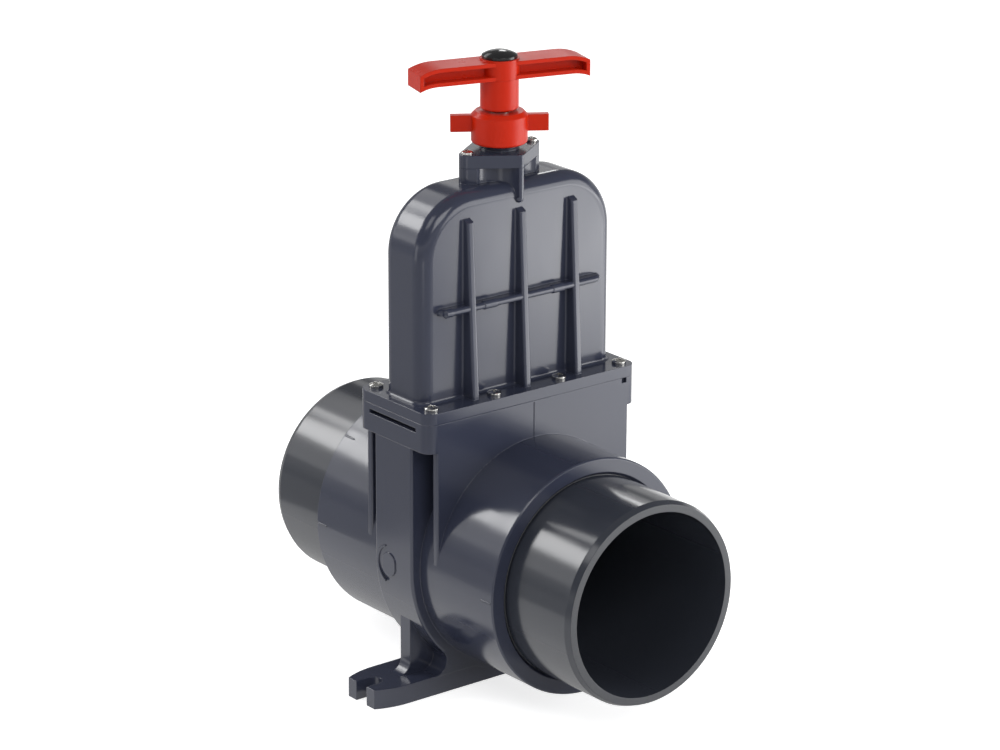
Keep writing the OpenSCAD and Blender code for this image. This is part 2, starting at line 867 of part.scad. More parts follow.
// One upright rib on a face of the hood, with hollow rounds at its root
module upright_rib(x) {
  top = hood_top - rib_drop;
  front_top = top - rib_top_fall;
  lean = atan2(rib_foot_out - rib_top_out, front_top - hood_z);
  intersection() {
    translate([x - rib_t, 0, 0])
      rotate([90, 0, 90])
        linear_extrude(height = 2 * rib_t)
          polygon([
            [-hood_half_y - rib_foot_out - 2, hood_z - 1], [-hood_half_y + 2, hood_z - 1],
            [-hood_half_y + 2, top + 2 * rib_top_fall / rib_top_out],
            [-hood_half_y - 2 * rib_top_out, top - 2 * rib_top_fall]
          ]);
    translate([x, -hood_half_y - rib_foot_out, hood_z])
      rotate([-lean, 0, 0])
        translate([0, 0, -3])
          linear_extrude(height = hood_top - hood_z)
            rib_section();
  }
  for (side = [0, 1]) {
    translate([x, -hood_half_y, hood_z - 1])
      mirror([side, 0, 0])
        translate([rib_t / 2, 0, 0])
          linear_extrude(height = top - hood_z)
            rib_root_profile();
  }
}

// Section of a leaning rib, its two front edges rounded
module rib_section() {
  translate([-rib_t / 2, rib_edge_r])
    square([rib_t, rib_foot_out + 4]);
  translate([-rib_t / 2 + rib_edge_r, 0])
    square([rib_t - 2 * rib_edge_r, rib_foot_out]);
  for (side = [-1, 1]) {
    translate([side * (rib_t / 2 - rib_edge_r), rib_edge_r])
      circle(r = rib_edge_r);
  }
}

// Hollow round between a rib's side and the face behind it
module rib_root_profile() {
  difference() {
    translate([-1, -rib_root_r])
      square([rib_root_r + 1, rib_root_r + 1]);
    translate([rib_root_r, -rib_root_r])
      circle(r = rib_root_r);
  }
}

// The level rib on a face of the hood, with its thickened spots
module level_rib() {
  turn_r = level_rib_out + 1;
  straight = level_rib_half - turn_r;
  translate([0, -hood_half_y + 1, hood_z + level_rib_up]) {
    translate([-straight, 0, 0])
      rotate([90, 0, 90])
        linear_extrude(height = 2 * straight)
          mirror([1, 0])
            level_rib_section(turn_r);
    translate([straight, 0, 0])
      rotate([0, 0, -90])
        rotate_extrude(angle = 90)
          level_rib_section(turn_r);
    translate([-straight, 0, 0])
      rotate([0, 0, 180])
        rotate_extrude(angle = 90)
          level_rib_section(turn_r);
    for (spot = level_rib_spots) {
      translate([spot[0], -turn_r + lump_r - 0.4, 0])
        rotate([0, 90, 0])
          rib_lump(spot[1]);
    }
  }
}

// Side section of the level rib, from the face out to its round nose
module level_rib_section(out) {
  nose_r = level_rib_t / 2;
  translate([0, -nose_r])
    square([out - nose_r, level_rib_t]);
  translate([out - nose_r, 0])
    circle(r = nose_r);
}

// Thickened spot on the level rib, tapered at both ends
module rib_lump(length) {
  cylinder(h = lump_taper, r1 = lump_r - lump_taper, r2 = lump_r);
  translate([0, 0, lump_taper])
    cylinder(h = length - 2 * lump_taper, r = lump_r);
  translate([0, 0, length - lump_taper])
    cylinder(h = lump_taper, r1 = lump_r, r2 = lump_r - lump_taper);
}

// Outline of the neck: four round corners joined by the lines that touch them
module neck_plan() {
  side_len = sqrt(neck_side * neck_side + neck_front * neck_front);
  lean = acos((neck_front_r - neck_side_r) / side_len) - atan2(neck_front, neck_side);
  side_x = neck_side + neck_side_r * cos(lean);
  side_y = neck_side_r * sin(lean);
  front_x = neck_front_r * cos(lean);
  front_y = neck_front + neck_front_r * sin(lean);
  polygon([
    [side_x, side_y], [front_x, front_y], [-front_x, front_y], [-side_x, side_y],
    [-side_x, -side_y], [-front_x, -front_y], [front_x, -front_y], [side_x, -side_y]
  ]);
  for (side = [-1, 1]) {
    translate([side * neck_side, 0])
      circle(r = neck_side_r);
    translate([0, side * neck_front])
      circle(r = neck_front_r);
  }
}

// Scoops that leave the packing tube and four corner bosses
module neck_scoops() {
  wall_r = packing_r + packing_wall;
  side_len = sqrt(neck_side * neck_side + neck_front * neck_front);
  chord = side_len - neck_side_r - neck_front_r - 1;
  scoop_r = (chord * chord / 4 + scoop_deep * scoop_deep) / (2 * scoop_deep);
  turn = atan2(neck_side, neck_front);
  for (sx = [-1, 1], sy = [-1, 1]) {
    rotate([0, 0, sx > 0 ? sy * turn : 180 - sy * turn])
      translate([wall_r + scoop_r, 0, hood_z])
        cylinder(h = plate_z - hood_z, r = scoop_r);
  }
}

module bonnet() {
  color(pvc)
    difference() {
      union() {
        translate([0, 0, joint_z])
          linear_extrude(height = bonnet_flange_t)
            rounded_plan(flange_half_x, flange_half_y, flange_corner_r);
        hood_outside();
        hood_base_round();
        for (k = [-1, 0, 1]) {
          for (turn = [0, 180]) {
            rotate([0, 0, turn])
              upright_rib(k * rib_pitch);
          }
        }
        for (turn = [0, 180]) {
          rotate([0, 0, turn])
            level_rib();
        }
        // Neck block with its four corner bosses
        difference() {
          translate([0, 0, neck_low])
            linear_extrude(height = plate_z - neck_low)
              neck_plan();
          neck_scoops();
        }
        for (turn = [0, 180]) {
          rotate([0, 0, turn])
            translate([0, 0, hood_top - boss_drop])
              corner_boss();
        }
      }
      // Space for the gate, with guide ribs left standing on both sides
      difference() {
        along_pipe(-hood_in_half_y, hood_in_half_y)
          hood_space_profile();
        for (sx = [-1, 1], sy = [-1, 1]) {
          translate([
            sx > 0 ? gate_r - 2 * guide_rib_t : -gate_r + guide_rib_t,
            sy > 0 ? chamber_half : -hood_in_half_y - 1,
            joint_z - 2
          ])
            cube([guide_rib_t, hood_in_half_y - chamber_half + 1, hood_in_top - hood_corner_r - joint_z + 20]);
        }
      }
      // Rod hole and packing space
      translate([0, 0, hood_in_top - 1])
        cylinder(h = plate_z - hood_in_top + 2, r = rod_r + 0.5);
      translate([0, 0, packing_z])
        cylinder(h = plate_z - packing_z + 1, r = packing_r + 0.05);
      for (p = screw_spots) {
        translate([p[0], p[1], joint_z - 1])
          cylinder(h = bonnet_flange_t + 2, r = screw_d / 2 + 0.3);
      }
      for (side = [-1, 1]) {
        translate([side * neck_side, 0, plate_top - neck_screw_len - 0.5])
          cylinder(h = neck_screw_len + 1, r = neck_screw_d / 2 + 0.02);
      }
    }
}

// Half outline of a hanging boss, round at its foot but for a small flat
module boss_half(height) {
  intersection() {
    union() {
      translate([0, neck_front_r])
        circle(r = neck_front_r);
      translate([0, neck_front_r])
        square([neck_front_r, height - neck_front_r]);
    }
    translate([0, 0.06])
      square([neck_front_r, height]);
  }
}

// Boss that hangs down a face of the hood: a round front and a web back to the face
module corner_boss() {
  reach = neck_front - hood_half_y + 1;
  translate([0, -neck_front, 0])
    rotate_extrude()
      boss_half(neck_low - hood_top + boss_drop);
  translate([0, -neck_front + reach, 0])
    rotate([90, 0, 0])
      linear_extrude(height = reach) {
        boss_half(neck_low - hood_top + boss_drop);
        mirror([1, 0])
          boss_half(neck_low - hood_top + boss_drop);
      }
}

module flange_inserts() {
  color(brass)
    for (p = screw_spots) {
      translate([p[0], p[1], 0])
        ring(screw_d / 2 + 0.02, insert_d / 2, joint_z - insert_len, joint_z);
    }
}

module flange_screws() {
  color(steel)
    for (p = screw_spots) {
      translate([p[0], p[1], hood_z])
        rotate([0, 0, 37 * p[0]])
          pan_screw(screw_d, screw_len, screw_head_d, screw_head_h);
    }
}

module guide_bush() {
  color(nylon)
    ring(rod_r + rod_gap, packing_r, packing_z, packing_z + bush_h);
}

// One rod seal with a hollow back
module rod_seal(z) {
  color(rubber)
    rotate_extrude()
      polygon([
        [rod_r + rod_gap, z + 0.3], [rod_r + 0.9, z], [packing_r, z],
        [packing_r, z + rod_seal_h], [rod_r + 0.9, z + rod_seal_h],
        [rod_r + rod_gap, z + rod_seal_h - 0.3], [rod_r + 0.6, z + rod_seal_h / 2]
      ]);
}

module rod_seal_lower() {
  rod_seal(packing_z + bush_h);
}

module seal_spacer() {
  color(nylon)
    ring(rod_r + 0.4, packing_r, packing_z + bush_h + rod_seal_h, packing_z + bush_h + rod_seal_h + spacer_h);
}

module rod_seal_upper() {
  rod_seal(packing_z + bush_h + rod_seal_h + spacer_h);
}

// Thread grooves cut with rings one pitch apart, outwards or inwards from a radius
module thread_grooves(r, side, z0, z1) {
  rotate_extrude()
    for (z = [z0 : thread_pitch : z1 - thread_pitch]) {
      polygon([
        [r + side, z - 0.2], [r, z + 0.4], [r - side * thread_deep, z + thread_pitch / 2 - 0.3],
        [r - side * thread_deep, z + thread_pitch / 2 + 0.3], [r, z + thread_pitch - 0.4],
        [r + side, z + thread_pitch + 0.2]
      ]);
    }
}

module gland_plate() {
  color(pvc)
    difference() {
      union() {
        translate([0, 0, plate_z])
          linear_extrude(height = plate_t)
            neck_plan();
        translate([0, 0, plate_top - 1])
          cylinder(h = thread_h, r = thread_r);
        translate([0, 0, thread_top - 1])
          cylinder(h = 1, r1 = thread_r, r2 = thread_r - 1);
      }
      thread_grooves(thread_r, 1, plate_top + 0.8, thread_top - 0.5);
      translate([0, 0, plate_z - 1])
        cylinder(h = plate_t + thread_h + 2, r = rod_r + 0.5);
      translate([0, 0, plate_z - 1])
        cylinder(h = packing_top - plate_z + 1, r = packing_r + 0.05);
      translate([0, 0, thread_top - cone_deep])
        cylinder(h = cone_deep, r1 = cone_r - cone_taper, r2 = cone_r);
      translate([0, 0, thread_top - eps])
        cylinder(h = 1, r = cone_r);
      for (side = [-1, 1]) {
        translate([side * neck_side, 0, plate_z - 1])
          cylinder(h = plate_t + 2, r = neck_screw_d / 2 + 0.3);
      }
    }
}

module neck_screws() {
  color(steel)
    for (side = [-1, 1]) {
      translate([side * neck_side, 0, plate_top])
        rotate([0, 0, side * 20])
          pan_screw(neck_screw_d, neck_screw_len, neck_head_d, neck_head_h);
    }
}

// Slit ring that grips the rod when the wing nut is turned down
module clamp_collet() {
  color(nylon)
    difference() {
      rotate_extrude()
        polygon([
          [rod_r + rod_gap, thread_top - cone_deep + 0.4],
          [cone_r - cone_taper - 0.1, thread_top - cone_deep + 0.4],
          [cone_r - 0.2, thread_top], [cone_r - 0.2, collet_top],
          [rod_r + rod_gap, collet_top]
        ]);
      translate([0, -collet_slit / 2, thread_top - cone_deep - 1])
        cube([cone_r + 1, collet_slit, cone_deep + collet_out + 2]);
    }
}

module gate_plate() {
  color(pvc_pale)
    difference() {
      along_pipe(-gate_t / 2, gate_t / 2) {
        translate([0, axis_height])
          circle(r = gate_r);
        translate([-gate_r, axis_height])
          square([2 * gate_r, gate_top - axis_height - 6]);
        translate([-gate_r + 6, axis_height])
          square([2 * (gate_r - 6), gate_top - axis_height]);
        for (side = [-1, 1]) {
          translate([side * (gate_r - 6), gate_top - 6])
            circle(r = 6);
        }
      }
      yoke_pin_holes();
    }
}

module yoke_pin_holes() {
  for (side = [-1, 1]) {
    translate([side * yoke_pin_pitch / 2, yoke_depth, gate_top - yoke_grip / 2])
      rotate([90, 0, 0])
        cylinder(h = 2 * yoke_depth, r = yoke_pin_d / 2 + 0.05);
  }
}

// Saddle pinned to the gate, with a T slot that the rod's button slides into
module gate_yoke() {
  color(steel)
    difference() {
      translate([-yoke_w / 2, -yoke_depth / 2, yoke_low])
        cube([yoke_w, yoke_depth, yoke_top - yoke_low]);
      translate([-yoke_w, -gate_t / 2, yoke_low - 1])
        cube([2 * yoke_w, gate_t, yoke_grip + 1]);
      yoke_pin_holes();
      translate([0, 0, button_z - yoke_gap])
        cylinder(h = button_h + 2 * yoke_gap, r = rod_r + yoke_gap);
      translate([0, -rod_r - yoke_gap, button_z - yoke_gap])
        cube([yoke_w, 2 * (rod_r + yoke_gap), button_h + 2 * yoke_gap]);
      translate([0, 0, bridge_z - 1])
        cylinder(h = yoke_rise, r = rod_neck_r + yoke_gap);
      translate([0, -rod_neck_r - yoke_gap, bridge_z - 1])
        cube([yoke_w, 2 * (rod_neck_r + yoke_gap), yoke_rise]);
    }
}

module yoke_pins() {
  color(steel)
    for (side = [-1, 1]) {
      translate([side * yoke_pin_pitch / 2, yoke_depth / 2, gate_top - yoke_grip / 2])
        rotate([90, 0, 0])
          cylinder(h = yoke_depth, r = yoke_pin_d / 2);
    }
}

module pull_rod() {
  color(steel)
    difference() {
      union() {
        translate([0, 0, button_z])
          cylinder(h = button_h, r = rod_r);
        translate([0, 0, button_z + button_h - 1])
          cylinder(h = yoke_top - button_z - button_h + 1 + 2 * yoke_gap, r = rod_neck_r);
        translate([0, 0, yoke_top + yoke_gap])
          cylinder(h = sleeve_z + sleeve_step - yoke_top - yoke_gap, r = rod_r);
        translate([0, 0, sleeve_z + sleeve_step - 1])
          cylinder(h = bar_z - sleeve_z - sleeve_step + 1, r = rod_r - 1);
        translate([0, 0, bar_z - 1])
          cylinder(h = handle_floor + 0.8, r = rod_r - 2.5);
      }
      translate([0, 0, seat_z + 1.6 - handle_screw_len - 1])
        cylinder(h = handle_screw_len + 1, r = handle_screw_d / 2 + 0.02);
    }
}

module handle_sleeve() {
  color(red)
    rotate_extrude()
      polygon([
        [rod_r + 0.05, sleeve_z], [sleeve_r - 1, sleeve_z], [sleeve_r, sleeve_z + 1],
        [sleeve_r, bar_z], [rod_r - 0.95, bar_z], [rod_r - 0.95, sleeve_z + sleeve_step],
        [rod_r + 0.05, sleeve_z + sleeve_step]
      ]);
}

// Side view of the bar, drawn in by a rim all round
module bar_profile(rim) {
  start = bar_half_len - droop_len;
  end = bar_half_len - rim;
  top_r = (droop_len * droop_len + droop_top * droop_top) / (2 * droop_top);
  under_len = droop_len * 0.75;
  under_start = bar_half_len - under_len;
  under_r = (under_len * under_len + droop_under * droop_under) / (2 * droop_under);
  translate([-start, bar_z + rim])
    square([2 * start, bar_t - 2 * rim]);
  for (side = [0, 1]) {
    mirror([side, 0]) {
      difference() {
        intersection() {
          translate([start, bar_top - top_r])
            circle(r = top_r - rim);
          translate([start - 1, bar_z - droop_under])
            square([end - start + 1, bar_t + droop_under]);
        }
        translate([under_start, bar_z - under_r])
          circle(r = under_r + rim);
        translate([start - 2, bar_z - 2 * under_r])
          square([under_start - start + 2, 2 * under_r + rim]);
      }
    }
  }
}

module t_handle() {
  color(red)
    difference() {
      union() {
        rotate([0, 0, handle_angle])
          difference() {
            along_pipe(-bar_w / 2, bar_w / 2)
              bar_profile(0);
            for (sy = [-1, 1]) {
              along_pipe(sy > 0 ? bar_web / 2 : -bar_w, sy > 0 ? bar_w : -bar_web / 2)
                bar_profile(pocket_rim);
            }
          }
        translate([0, 0, bar_z])
          cylinder(h = handle_top - bar_z, r = handle_hub_r);
      }
      translate([0, 0, bar_z - 1])
        cylinder(h = handle_floor + 2, r = rod_r - 2.45);
      translate([0, 0, seat_z])
        cylinder(h = handle_top - seat_z + 1, r = cap_pocket_r);
    }
}

module handle_washer() {
  color(steel)
    ring(handle_screw_d / 2 + 0.2, cap_pocket_r - 2, seat_z, seat_z + 1.6);
}

module handle_screw() {
  color(steel)
    translate([0, 0, seat_z + 1.6])
      pan_screw(handle_screw_d, handle_screw_len, handle_screw_d * 1.7, 3.2);
}

module handle_cap() {
  dome_r = (cap_r * cap_r + cap_dome * cap_dome) / (2 * cap_dome);
  color(black)
    translate([0, 0, handle_top])
      rotate_extrude() {
        square([cap_r, cap_rim]);
        intersection() {
          translate([0, cap_rim + cap_dome - dome_r])
            circle(r = dome_r);
          translate([0, cap_rim - 0.1])
            square([cap_r, cap_dome + 1]);
        }
        translate([cap_pocket_r - 1.6, seat_z + 2 - handle_top])
          square([1.55, handle_top - seat_z - 1]);
      }
}

// Ring between wing nut and collet, which rises and falls with the nut
module thrust_ring() {
  color(nylon)
    ring(rod_r + 0.6, thread_r - 0.4, thrust_z, thrust_z + thrust_t);
}

// Half section of the wing nut's outside
module nut_section() {
  square([nut_r - nut_foot_r, nut_h - nut_edge]);
  translate([0, nut_foot_r])
    square([nut_r, nut_h - nut_edge - nut_foot_r]);
  translate([nut_r - nut_foot_r, nut_foot_r])
    circle(r = nut_foot_r);
  polygon([[0, nut_h - nut_edge - 1], [nut_r, nut_h - nut_edge], [nut_r - nut_edge, nut_h], [0, nut_h]]);
}

module wing_nut() {
  color(red)
    difference() {
      union() {
        translate([0, 0, nut_z])
          rotate_extrude()
            nut_section();
        rotate([0, 0, wing_angle])
          translate([-wing_reach, -wing_t / 2, wing_z])
            cube([2 * wing_reach, wing_t, wing_h]);
      }
      translate([0, 0, nut_z - 1])
        cylinder(h = nut_ceiling - nut_z + 1, r = nut_bore_r);
      thread_grooves(nut_bore_r, -1, nut_z + 0.8, nut_ceiling - 1);
      translate([0, 0, nut_z])
        cylinder(h = nut_h + 1, r = rod_r + 1);
    }
}

body();
spigot_front();
spigot_rear();
seal_front();
seal_rear();
bonnet();
bonnet_gasket();
flange_inserts();
flange_screws();
guide_bush();
rod_seal_lower();
seal_spacer();
rod_seal_upper();
gland_plate();
neck_screws();
clamp_collet();
gate_plate();
gate_yoke();
yoke_pins();
pull_rod();
handle_sleeve();
t_handle();
handle_washer();
handle_screw();
handle_cap();
thrust_ring();
wing_nut();
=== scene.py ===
"""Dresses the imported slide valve: camera, light, floor and the finish of each piece."""

import json
import math

import bpy
from mathutils import Matrix, Vector

bl_info = {
    "name": "Pull-rod slide valve dresser",
    "version": (1, 0, 0),
    "blender": (4, 5, 0),
    "location": "View3D > Sidebar > Slide valve",
    "description": "Gives each piece of the slide valve its finish and sets up the studio",
    "category": "Object",
}

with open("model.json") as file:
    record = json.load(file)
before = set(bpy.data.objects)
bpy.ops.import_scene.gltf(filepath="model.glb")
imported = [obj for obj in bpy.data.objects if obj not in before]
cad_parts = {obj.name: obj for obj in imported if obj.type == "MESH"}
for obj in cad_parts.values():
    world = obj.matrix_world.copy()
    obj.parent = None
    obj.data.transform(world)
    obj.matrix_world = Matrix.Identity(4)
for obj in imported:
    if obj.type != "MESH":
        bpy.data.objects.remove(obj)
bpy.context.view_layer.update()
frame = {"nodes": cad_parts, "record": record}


# Shader helpers


class Sock:
    """Wraps a socket, so that sums and products of it add Math nodes."""

    def __init__(self, mat, socket):
        self.mat = mat
        self.socket = socket

    def _math(self, operation, a, b=None):
        args = {0: a} if b is None else {0: a, 1: b}
        return self.mat.node("ShaderNodeMath", {"operation": operation}, args)

    def __add__(self, other):
        return self._math("ADD", self, other)

    __radd__ = __add__

    def __mul__(self, other):
        return self._math("MULTIPLY", self, other)

    __rmul__ = __mul__

    def __sub__(self, other):
        return self._math("SUBTRACT", self, other)

    def __rsub__(self, other):
        return self._math("SUBTRACT", other, self)

    def absolute(self):
        return self._math("ABSOLUTE", self)

    def clamp(self):
        return self.mat.node("ShaderNodeClamp", {}, {0: self})


class Nodes:
    """Adds nodes to the emptied tree of a material or world."""

    def __init__(self, owner):
        owner.use_nodes = True
        self.tree = owner.node_tree
        self.tree.nodes.clear()

    def node(self, kind, settings, values, out=0):
        made = self.tree.nodes.new(kind)
        for key, value in settings.items():
            setattr(made, key, value)
        for key, value in values.items():
            self.feed(made.inputs[key], value)
        return None if out is None else Sock(self, made.outputs[out])

    def feed(self, socket, value):
        if isinstance(value, Sock):
            self.tree.links.new(value.socket, socket)
        else:
            socket.default_value = value

    def level(self, value, low, high, to_low, to_high):
        return self.node(
            "ShaderNodeMapRange",
            {"clamp": True},
            {"Value": value, "From Min": low, "From Max": high, "To Min": to_low, "To Max": to_high},
        )

    def along(self, vector, axis):
        return self.node("ShaderNodeSeparateXYZ", {}, {"Vector": vector}, axis)

    def seen_rays(self):
        """Two masks: camera rays alone, and camera, mirror and see-through rays together."""
        path = self.tree.nodes.new("ShaderNodeLightPath")
        rays = ("Is Camera Ray", "Is Glossy Ray", "Is Transmission Ray")
        camera, mirror, through = (Sock(self, path.outputs[name]) for name in rays)
        return camera, (camera + mirror + through).clamp()


class Finish(Nodes):
    """Builds one material around a Principled shader."""

    def __init__(self, name):
        self.material = bpy.data.materials.new(name)
        super().__init__(self.material)
        self.shader = self.tree.nodes.new("ShaderNodeBsdfPrincipled")
        output = self.tree.nodes.new("ShaderNodeOutputMaterial")
        self.tree.links.new(self.shader.outputs[0], output.inputs["Surface"])
        self.place = self.node("ShaderNodeTexCoord", {}, {}, "Object")
        self.facing = self.node("ShaderNodeTexCoord", {}, {}, "Normal")

    def set(self, **values):
        for key, value in values.items():
            self.feed(self.shader.inputs[key.replace("_", " ").title()], value)

    def stretched(self, x, y, z):
        return self.node(
            "ShaderNodeMapping", {"vector_type": "POINT"}, {"Vector": self.place, "Scale": (x, y, z)}
        )

    def noise(self, scale, detail=2.0, rough=0.5, at=None):
        return self.node(
            "ShaderNodeTexNoise",
            {"noise_dimensions": "3D"},
            {"Vector": at or self.place, "Scale": scale, "Detail": detail, "Roughness": rough},
            "Fac",
        )

    def soft_edges(self, radius):
        """Normal that rounds the sharp edges within a small radius."""
        return self.node("ShaderNodeBevel", {"samples": 6}, {"Radius": radius}, "Normal")

    def mix(self, factor, first, second):
        made = self.tree.nodes.new("ShaderNodeMix")
        made.data_type = "RGBA"
        self.feed(made.inputs["Factor"], factor)
        for key, value in (("A", first), ("B", second)):
            socket = [s for s in made.inputs if s.name == key and s.type == "RGBA"][0]
            self.feed(socket, value)
        out = [s for s in made.outputs if s.type == "RGBA"][0]
        return Sock(self, out)

    def bump(self, height, distance, strength=1.0, normal=None):
        values = {"Height": height, "Distance": distance, "Strength": strength}
        if normal is not None:
            values["Normal"] = normal
        return self.node("ShaderNodeBump", {}, values, "Normal")


# Finishes


def shades(colour, spread):
    """A colour's darker and lighter neighbour."""
    return [(*(min(1.0, c * k) for c in colour), 1.0) for k in (1.0 - spread, 1.0 + spread)]


PLASTIC_IOR = 1.53
# Radii in metres that the edges of each finish are softened by
MOULDED_EDGE = 0.0009
CUT_EDGE = 0.0007
METAL_EDGE = 0.0004


def moulded_plastic(name, colour, rough, ior=PLASTIC_IOR):
    """Moulded plastic: a glossy skin, faintly cloudy, with softened edges."""
    f = Finish(name)
    cloud = f.noise(11.0, 3.0, 0.55)
    flow = f.noise(34.0, 2.0, 0.5, f.stretched(1.0, 1.0, 0.35))
    dark, light = shades(colour, 0.06)
    f.set(base_color=f.mix(cloud, dark, light))
    f.set(roughness=f.level(flow, 0.3, 0.7, rough * 0.85, rough * 1.2))
    skin = f.noise(420.0, 2.0, 0.5)
    f.set(normal=f.bump(skin, 0.00001, 0.12, f.soft_edges(MOULDED_EDGE)))
    f.shader.inputs["IOR"].default_value = ior
    return f.material


def drawn_pipe(name, colour, rough, cut_colour):
    """Extruded pipe: a glossy skin drawn along the pipe, and a grainy sawn end."""
    f = Finish(name)
    draw = f.noise(70.0, 3.0, 0.6, f.stretched(1.0, 0.04, 1.0))
    cloud = f.noise(9.0, 2.0, 0.5)
    end = f.level(f.along(f.facing, "Y").absolute(), 0.80, 0.95, 0.0, 1.0)
    grain = f.noise(650.0, 3.0, 0.65)
    dark, light = shades(colour, 0.05)
    wall = f.mix(cloud, dark, light)
    sawn_dark, sawn_light = shades(cut_colour, 0.25)
    sawn = f.mix(grain, sawn_dark, sawn_light)
    f.set(base_color=f.mix(end, wall, sawn))
    smooth = f.level(draw, 0.3, 0.7, rough * 0.9, rough * 1.25)
    f.set(roughness=smooth * (1.0 - end) + end * 0.55)
    saw_marks = f.noise(240.0, 2.0, 0.6, f.stretched(1.0, 1.0, 0.12))
    f.set(normal=f.bump((grain + saw_marks) * end, 0.00006, 0.5, f.soft_edges(CUT_EDGE)))
    f.shader.inputs["IOR"].default_value = PLASTIC_IOR
    return f.material


def bright_metal(name, colour, rough):
    """Turned or pressed metal with a fine grain."""
    f = Finish(name)
    grain = f.noise(700.0, 2.0, 0.6)
    dark, light = shades(colour, 0.08)
    f.set(base_color=f.mix(grain, dark, light))
    f.set(roughness=f.level(grain, 0.3, 0.7, rough * 0.8, rough * 1.25))
    f.set(normal=f.bump(grain, 0.00001, 0.3, f.soft_edges(METAL_EDGE)))
    f.shader.inputs["Metallic"].default_value = 1.0
    return f.material


def soft_rubber(name, colour):
    """Matt moulded rubber."""
    f = Finish(name)
    grain = f.noise(500.0, 3.0, 0.6)
    dark, light = shades(colour, 0.2)
    f.set(base_color=f.mix(grain, dark, light))
    f.set(roughness=f.level(grain, 0.3, 0.7, 0.55, 0.72))
    f.set(normal=f.bump(grain, 0.00002, 0.5))
    return f.material


class FinishSettings(bpy.types.PropertyGroup):
    """Colours of the pieces."""

    body_colour: bpy.props.FloatVectorProperty(
        name="Body",
        description="Colour of the moulded grey pieces",
        default=(0.036, 0.041, 0.067),
        subtype="COLOR",
    )
    pipe_colour: bpy.props.FloatVectorProperty(
        name="Pipe",
        description="Colour of the pipe spigots and the gate",
        default=(0.034, 0.038, 0.050),
        subtype="COLOR",
    )
    cut_colour: bpy.props.FloatVectorProperty(
        name="Cut end",
        description="Colour of faces square to the pipe, such as its sawn ends",
        default=(0.064, 0.067, 0.075),
        subtype="COLOR",
    )
    red_colour: bpy.props.FloatVectorProperty(
        name="Red pieces",
        description="Colour of the handle, its sleeve and the wing nut",
        default=(0.55, 0.018, 0.002),
        subtype="COLOR",
    )
    cap_colour: bpy.props.FloatVectorProperty(
        name="Cap",
        description="Colour of the handle's cap",
        default=(0.012, 0.012, 0.013),
        subtype="COLOR",
    )
    steel_colour: bpy.props.FloatVectorProperty(
        name="Steel",
        description="Colour of the screws, the rod, the yoke and its pins",
        default=(0.72, 0.71, 0.68),
        subtype="COLOR",
    )
    brass_colour: bpy.props.FloatVectorProperty(
        name="Brass",
        description="Colour of the threaded inserts",
        default=(0.62, 0.45, 0.18),
        subtype="COLOR",
    )
    seal_colour: bpy.props.FloatVectorProperty(
        name="Seals",
        description="Colour of the rubber seals and the gasket",
        default=(0.02, 0.02, 0.02),
        subtype="COLOR",
    )
    bush_colour: bpy.props.FloatVectorProperty(
        name="Bush",
        description="Colour of the guide bush, the spacer, the collet and the thrust ring",
        default=(0.72, 0.71, 0.66),
        subtype="COLOR",
    )


def dress(slot, material):
    """Gives a finish to each piece of one material slot."""
    for part in frame["record"]["subparts"]:
        if part["material_slot"] == slot:
            mesh = frame["nodes"][part["node"]].data
            mesh.materials.clear()
            mesh.materials.append(material)


class VALVE_OT_body(bpy.types.Operator):
    """Dresses the grey mouldings: body, bonnet and gland plate"""

    bl_idname = "valve.body"
    bl_label = "Body"

    def execute(self, context):
        colours = context.scene.valve_finish
        dress("pvc", moulded_plastic("moulded_grey", colours.body_colour, 0.16))
        return {"FINISHED"}


class VALVE_OT_pipes(bpy.types.Operator):
    """Dresses the two pipe spigots and the gate"""

    bl_idname = "valve.pipes"
    bl_label = "Spigots and gate"

    def execute(self, context):
        colours = context.scene.valve_finish
        dress("pipe_pvc", drawn_pipe("pipe_grey", colours.pipe_colour, 0.15, colours.cut_colour))
        return {"FINISHED"}


class VALVE_OT_handle(bpy.types.Operator):
    """Dresses the red handle, sleeve and wing nut, and the black cap"""

    bl_idname = "valve.handle"
    bl_label = "Handle and nut"

    def execute(self, context):
        colours = context.scene.valve_finish
        dress("red_plastic", moulded_plastic("handle_red", colours.red_colour, 0.30, 1.30))
        dress("black_plastic", moulded_plastic("cap_black", colours.cap_colour, 0.12))
        return {"FINISHED"}


class VALVE_OT_metal(bpy.types.Operator):
    """Dresses the rod, the yoke, the screws and the threaded inserts"""

    bl_idname = "valve.metal"
    bl_label = "Metal pieces"

    def execute(self, context):
        colours = context.scene.valve_finish
        dress("steel", bright_metal("bright_steel", colours.steel_colour, 0.18))
        dress("brass", bright_metal("insert_brass", colours.brass_colour, 0.30))
        return {"FINISHED"}


class VALVE_OT_seals(bpy.types.Operator):
    """Dresses the seals, the gasket, the bush, the spacer, the collet and the thrust ring"""

    bl_idname = "valve.seals"
    bl_label = "Seals and bushes"

    def execute(self, context):
        colours = context.scene.valve_finish
        dress("rubber", soft_rubber("seal_rubber", colours.seal_colour))
        dress("nylon", moulded_plastic("bush_nylon", colours.bush_colour, 0.45))
        return {"FINISHED"}


# Studio

